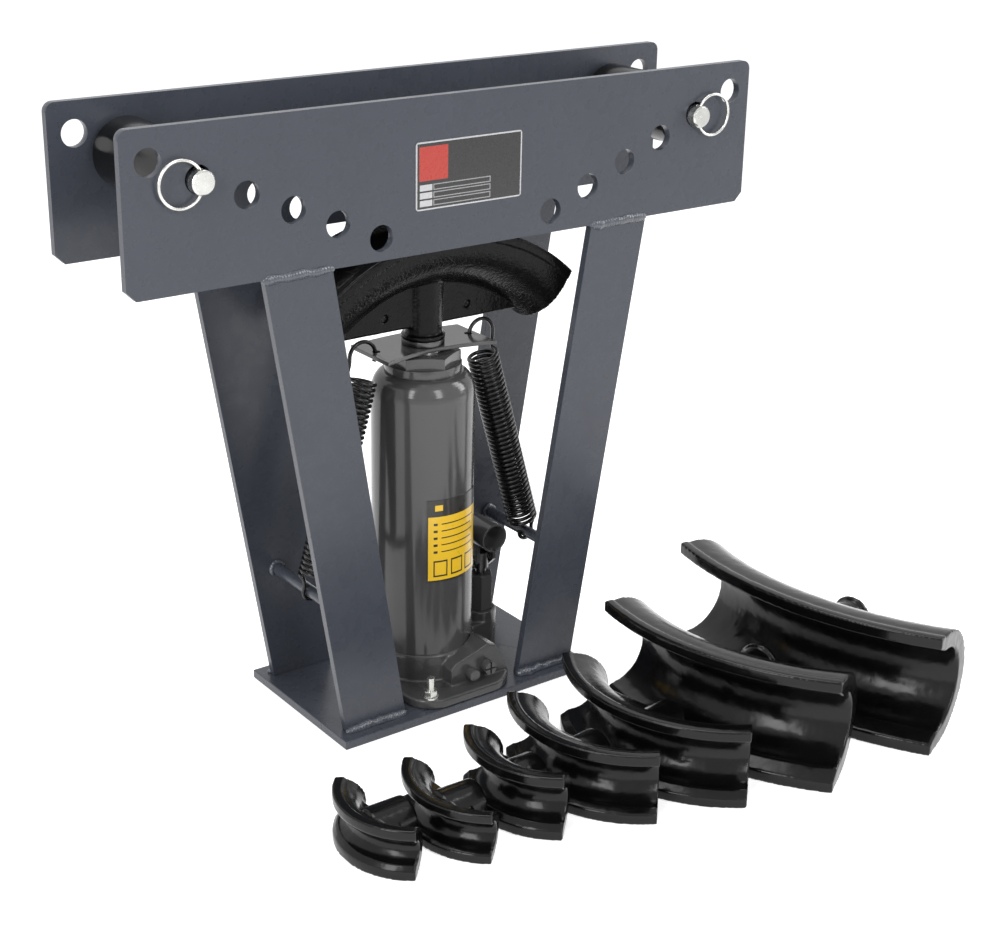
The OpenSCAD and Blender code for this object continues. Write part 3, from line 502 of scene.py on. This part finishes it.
# Formers: sand-cast iron shoes, dipped in black gloss paint that leaves the skin of the
# casting showing. The one on the ram has a rougher, hammered skin.
hammer_black = (0.003, 0.003, 0.0032)
coarse_voxel = 0.0016
former_lumps = 0.012
black_hammer = paint("black_hammer", hammer_black, rough=0.17, peel=0.0028,
                     peel_depth=0.00045, cloud=0.1, grit=0.00012, shine=0.14)
large_formers = ["former_dn65", "former_dn80"]
small_formers = ["former_dn15", "former_dn20", "former_dn25", "former_dn32", "former_dn40"]
dress(black_gloss, *small_formers, *large_formers)
dress(black_hammer, "former_dn50")
for name in small_formers + ["former_dn50"]:
    cast(name, fine_voxel, former_lumps)
for name in large_formers:
    cast(name, coarse_voxel, former_lumps)

# Rating plate: a printed aluminium plate on the front beam. Its print is generic: a red
# field, a silver edge and empty cells, with no words.
silver = (0.50, 0.50, 0.51)
plate_black = (0.012, 0.012, 0.013)
plate_red = (0.42, 0.030, 0.018)
row_line_grey = (0.30, 0.30, 0.31)
print_coat = 0.3
first_row, row_gap, row_h, row_line = 0.055, 0.115, 0.090, 0.014
plate_low, plate_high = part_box("rating_plate")
plate_w = plate_high.x - plate_low.x
plate_h = plate_high.z - plate_low.z


def fields(tree, u, v, ground, rectangles):
    """A flat colour with rectangles (u0, u1, v0, v1, colour) laid over it in turn."""
    colour = None
    for u0, u1, v0, v1, tint in rectangles:
        inside = None
        for value, edge, kind in ((u, u0, "GREATER_THAN"), (u, u1, "LESS_THAN"),
                                  (v, v0, "GREATER_THAN"), (v, v1, "LESS_THAN")):
            test = tree.nodes.new("ShaderNodeMath")
            test.operation = kind
            test.inputs[1].default_value = edge
            tree.links.new(value, test.inputs[0])
            if inside is None:
                inside = test.outputs[0]
            else:
                both = tree.nodes.new("ShaderNodeMath")
                both.operation = "MULTIPLY"
                tree.links.new(inside, both.inputs[0])
                tree.links.new(test.outputs[0], both.inputs[1])
                inside = both.outputs[0]
        mix = tree.nodes.new("ShaderNodeMix")
        mix.data_type = "RGBA"
        mix.inputs["A"].default_value = (*ground, 1)
        mix.inputs["B"].default_value = (*tint, 1)
        tree.links.new(inside, mix.inputs["Factor"])
        if colour is not None:
            tree.links.new(colour, mix.inputs["A"])
        colour = mix.outputs["Result"]
    return colour


def printed(name, across, ground, rectangles, scuff, clean, scuffed):
    """A print of flat fields under a clear coat, with scuffs from clean to scuffed gloss;
    across(tree, axes) gives the coordinate that runs over its width."""
    made, tree, surface, where = shader(name)
    axes = tree.nodes.new("ShaderNodeSeparateXYZ")
    tree.links.new(where, axes.inputs["Vector"])
    tree.links.new(fields(tree, across(tree, axes), axes.outputs["Z"], ground, rectangles),
                   surface.inputs["Base Color"])
    tree.links.new(spread(tree, noise(tree, where, scuff, 6), clean, scuffed),
                   surface.inputs["Roughness"])
    surface.inputs["Coat Weight"].default_value = print_coat
    return made


def on_plate(left, right_edge, low, high, colour):
    """A rectangle of the plate, in shares of its width and height."""
    return (plate_low.x + left * plate_w, plate_low.x + right_edge * plate_w,
            plate_low.z + low * plate_h, plate_low.z + high * plate_h, colour)


print_fields = [on_plate(0.012, 0.988, 0.022, 0.978, plate_black),
                on_plate(0.030, 0.295, 0.43, 0.93, plate_red)]
for row in range(3):
    low = first_row + row * row_gap
    high = low + row_h
    print_fields.append(on_plate(0.035, 0.150, low, high, silver))
    print_fields.append(on_plate(0.160, 0.700, low, high, row_line_grey))
    print_fields.append(on_plate(0.168, 0.692, low + row_line, high - row_line, plate_black))
plate_print = printed("plate_print", lambda tree, axes: axes.outputs["X"], silver,
                      print_fields, scuff=0.004, clean=0.22, scuffed=0.36)
dress(plate_print, "rating_plate")

# Label on the tank: a printed film that wraps the front of it. It carries a dark band and
# plain ruled lines on yellow, with no words or signs.
label_yellow = (0.80, 0.50, 0.02)
label_dark = (0.015, 0.014, 0.012)
label_low, label_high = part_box("tank_label")
label_from = math.radians(-119.5)
label_to = math.radians(-44.5)
label_arc = label_to - label_from
label_h = label_high.z - label_low.z
first_line, line_gap, line_h = 0.70, 0.085, 0.014
dot_low, dot_high = 0.008, 0.022
cell_w, cell_gap, cell_line = 0.22, 0.28, 0.02


def round_axis(tree, axes):
    """The angle round the jack's axis, which stands on the origin."""
    made = tree.nodes.new("ShaderNodeMath")
    made.operation = "ARCTAN2"
    tree.links.new(axes.outputs["Y"], made.inputs[0])
    tree.links.new(axes.outputs["X"], made.inputs[1])
    return made.outputs[0]


def on_label(left, right_edge, low, high, colour):
    """A rectangle of the label, in shares of its arc and height."""
    return (label_from + left * label_arc, label_from + right_edge * label_arc,
            label_low.z + low * label_h, label_low.z + high * label_h, colour)


label_fields = [on_label(0.02, 0.98, 0.018, 0.80, label_yellow)]
for row in range(5):
    low = first_line - row * line_gap
    line_end = 0.88 - 0.06 * (row % 2)
    label_fields.append(on_label(0.10, 0.16, low - dot_low, low + dot_high, label_dark))
    label_fields.append(on_label(0.22, line_end, low, low + line_h, label_dark))
for cell in range(3):
    left = 0.10 + cell_gap * cell
    label_fields.append(on_label(left, left + cell_w, 0.06, 0.26, label_dark))
    label_fields.append(on_label(left + cell_line, left + cell_w - cell_line, 0.08, 0.24,
                                 label_yellow))
label_fields.append(on_label(0.12, 0.24, 0.87, 0.94, label_yellow))
label_print = printed("label_print", round_axis, label_dark, label_fields, scuff=0.006,
                      clean=0.26, scuffed=0.38)
dress(label_print, "tank_label")

# The studio: a white floor that runs into a white surround, a tall soft lamp at the left,
# one in front and one at the right, and a wide one overhead.
floor_reach = 12.0
floor_drop = 0.0006
floor_tone = 0.90
floor_glow = 0.62
surround_light = 0.42
floor_mesh = bpy.data.meshes.new("floor")
floor_mesh.from_pydata([(-floor_reach, -floor_reach, 0), (floor_reach, -floor_reach, 0),
                        (floor_reach, floor_reach, 0), (-floor_reach, floor_reach, 0)],
                       [], [(0, 1, 2, 3)])
floor = bpy.data.objects.new("floor", floor_mesh)
bpy.context.scene.collection.objects.link(floor)
floor.location.z = -floor_drop
floor_white, tree, surface, where = shader("floor_white")
surface.inputs["Base Color"].default_value = (floor_tone, floor_tone, floor_tone, 1)
surface.inputs["Roughness"].default_value = 0.6
surface.inputs["Specular IOR Level"].default_value = 0.1
surface.inputs["Emission Color"].default_value = (1, 1, 1, 1)


def seen(tree):
    """One where the camera sees it, also in a reflection or through glass, and else nothing."""
    rays = tree.nodes.new("ShaderNodeLightPath")
    total = rays.outputs["Is Camera Ray"]
    for kind in ("Is Glossy Ray", "Is Transmission Ray"):
        both = tree.nodes.new("ShaderNodeMath")
        both.operation = "MAXIMUM"
        tree.links.new(total, both.inputs[0])
        tree.links.new(rays.outputs[kind], both.inputs[1])
        total = both.outputs[0]
    return total


glow = tree.nodes.new("ShaderNodeMath")
glow.operation = "MULTIPLY"
glow.inputs[1].default_value = floor_glow
tree.links.new(seen(tree), glow.inputs[0])
tree.links.new(glow.outputs[0], surface.inputs["Emission Strength"])
floor_mesh.materials.append(floor_white)

world = bpy.data.worlds.new("surround")
world.use_nodes = True
bpy.context.scene.world = world
tree = world.node_tree
sky = tree.nodes["Background"]
sky.inputs["Color"].default_value = (1, 1, 1, 1)
strength = tree.nodes.new("ShaderNodeMapRange")
strength.inputs["To Min"].default_value = surround_light
strength.inputs["To Max"].default_value = 1.0
tree.links.new(seen(tree), strength.inputs["Value"])
tree.links.new(strength.outputs["Result"], sky.inputs["Strength"])


def lamp(name, at, aim, width, height, watts):
    """A soft rectangular lamp turned to face a point."""
    data = bpy.data.lights.new(name, "AREA")
    data.shape = "RECTANGLE"
    data.size = width
    data.size_y = height
    data.energy = watts
    made = bpy.data.objects.new(name, data)
    made.location = at
    made.rotation_euler = (Vector(aim) - Vector(at)).to_track_quat("-Z", "Y").to_euler()
    bpy.context.scene.collection.objects.link(made)


lamp("left_lamp", (-1.9, -0.9, 1.3), (0, 0, 0.35), width=0.7, height=1.6, watts=26)
lamp("front_lamp", (0.1, -2.4, 1.4), (0, 0, 0.30), width=0.6, height=1.6, watts=20)
lamp("right_lamp", (1.9, -0.9, 1.2), (0, 0, 0.35), width=0.6, height=1.6, watts=20)
lamp("top_lamp", (0.0, 0.3, 2.3), (0, 0, 0.3), width=1.8, height=1.2, watts=26)
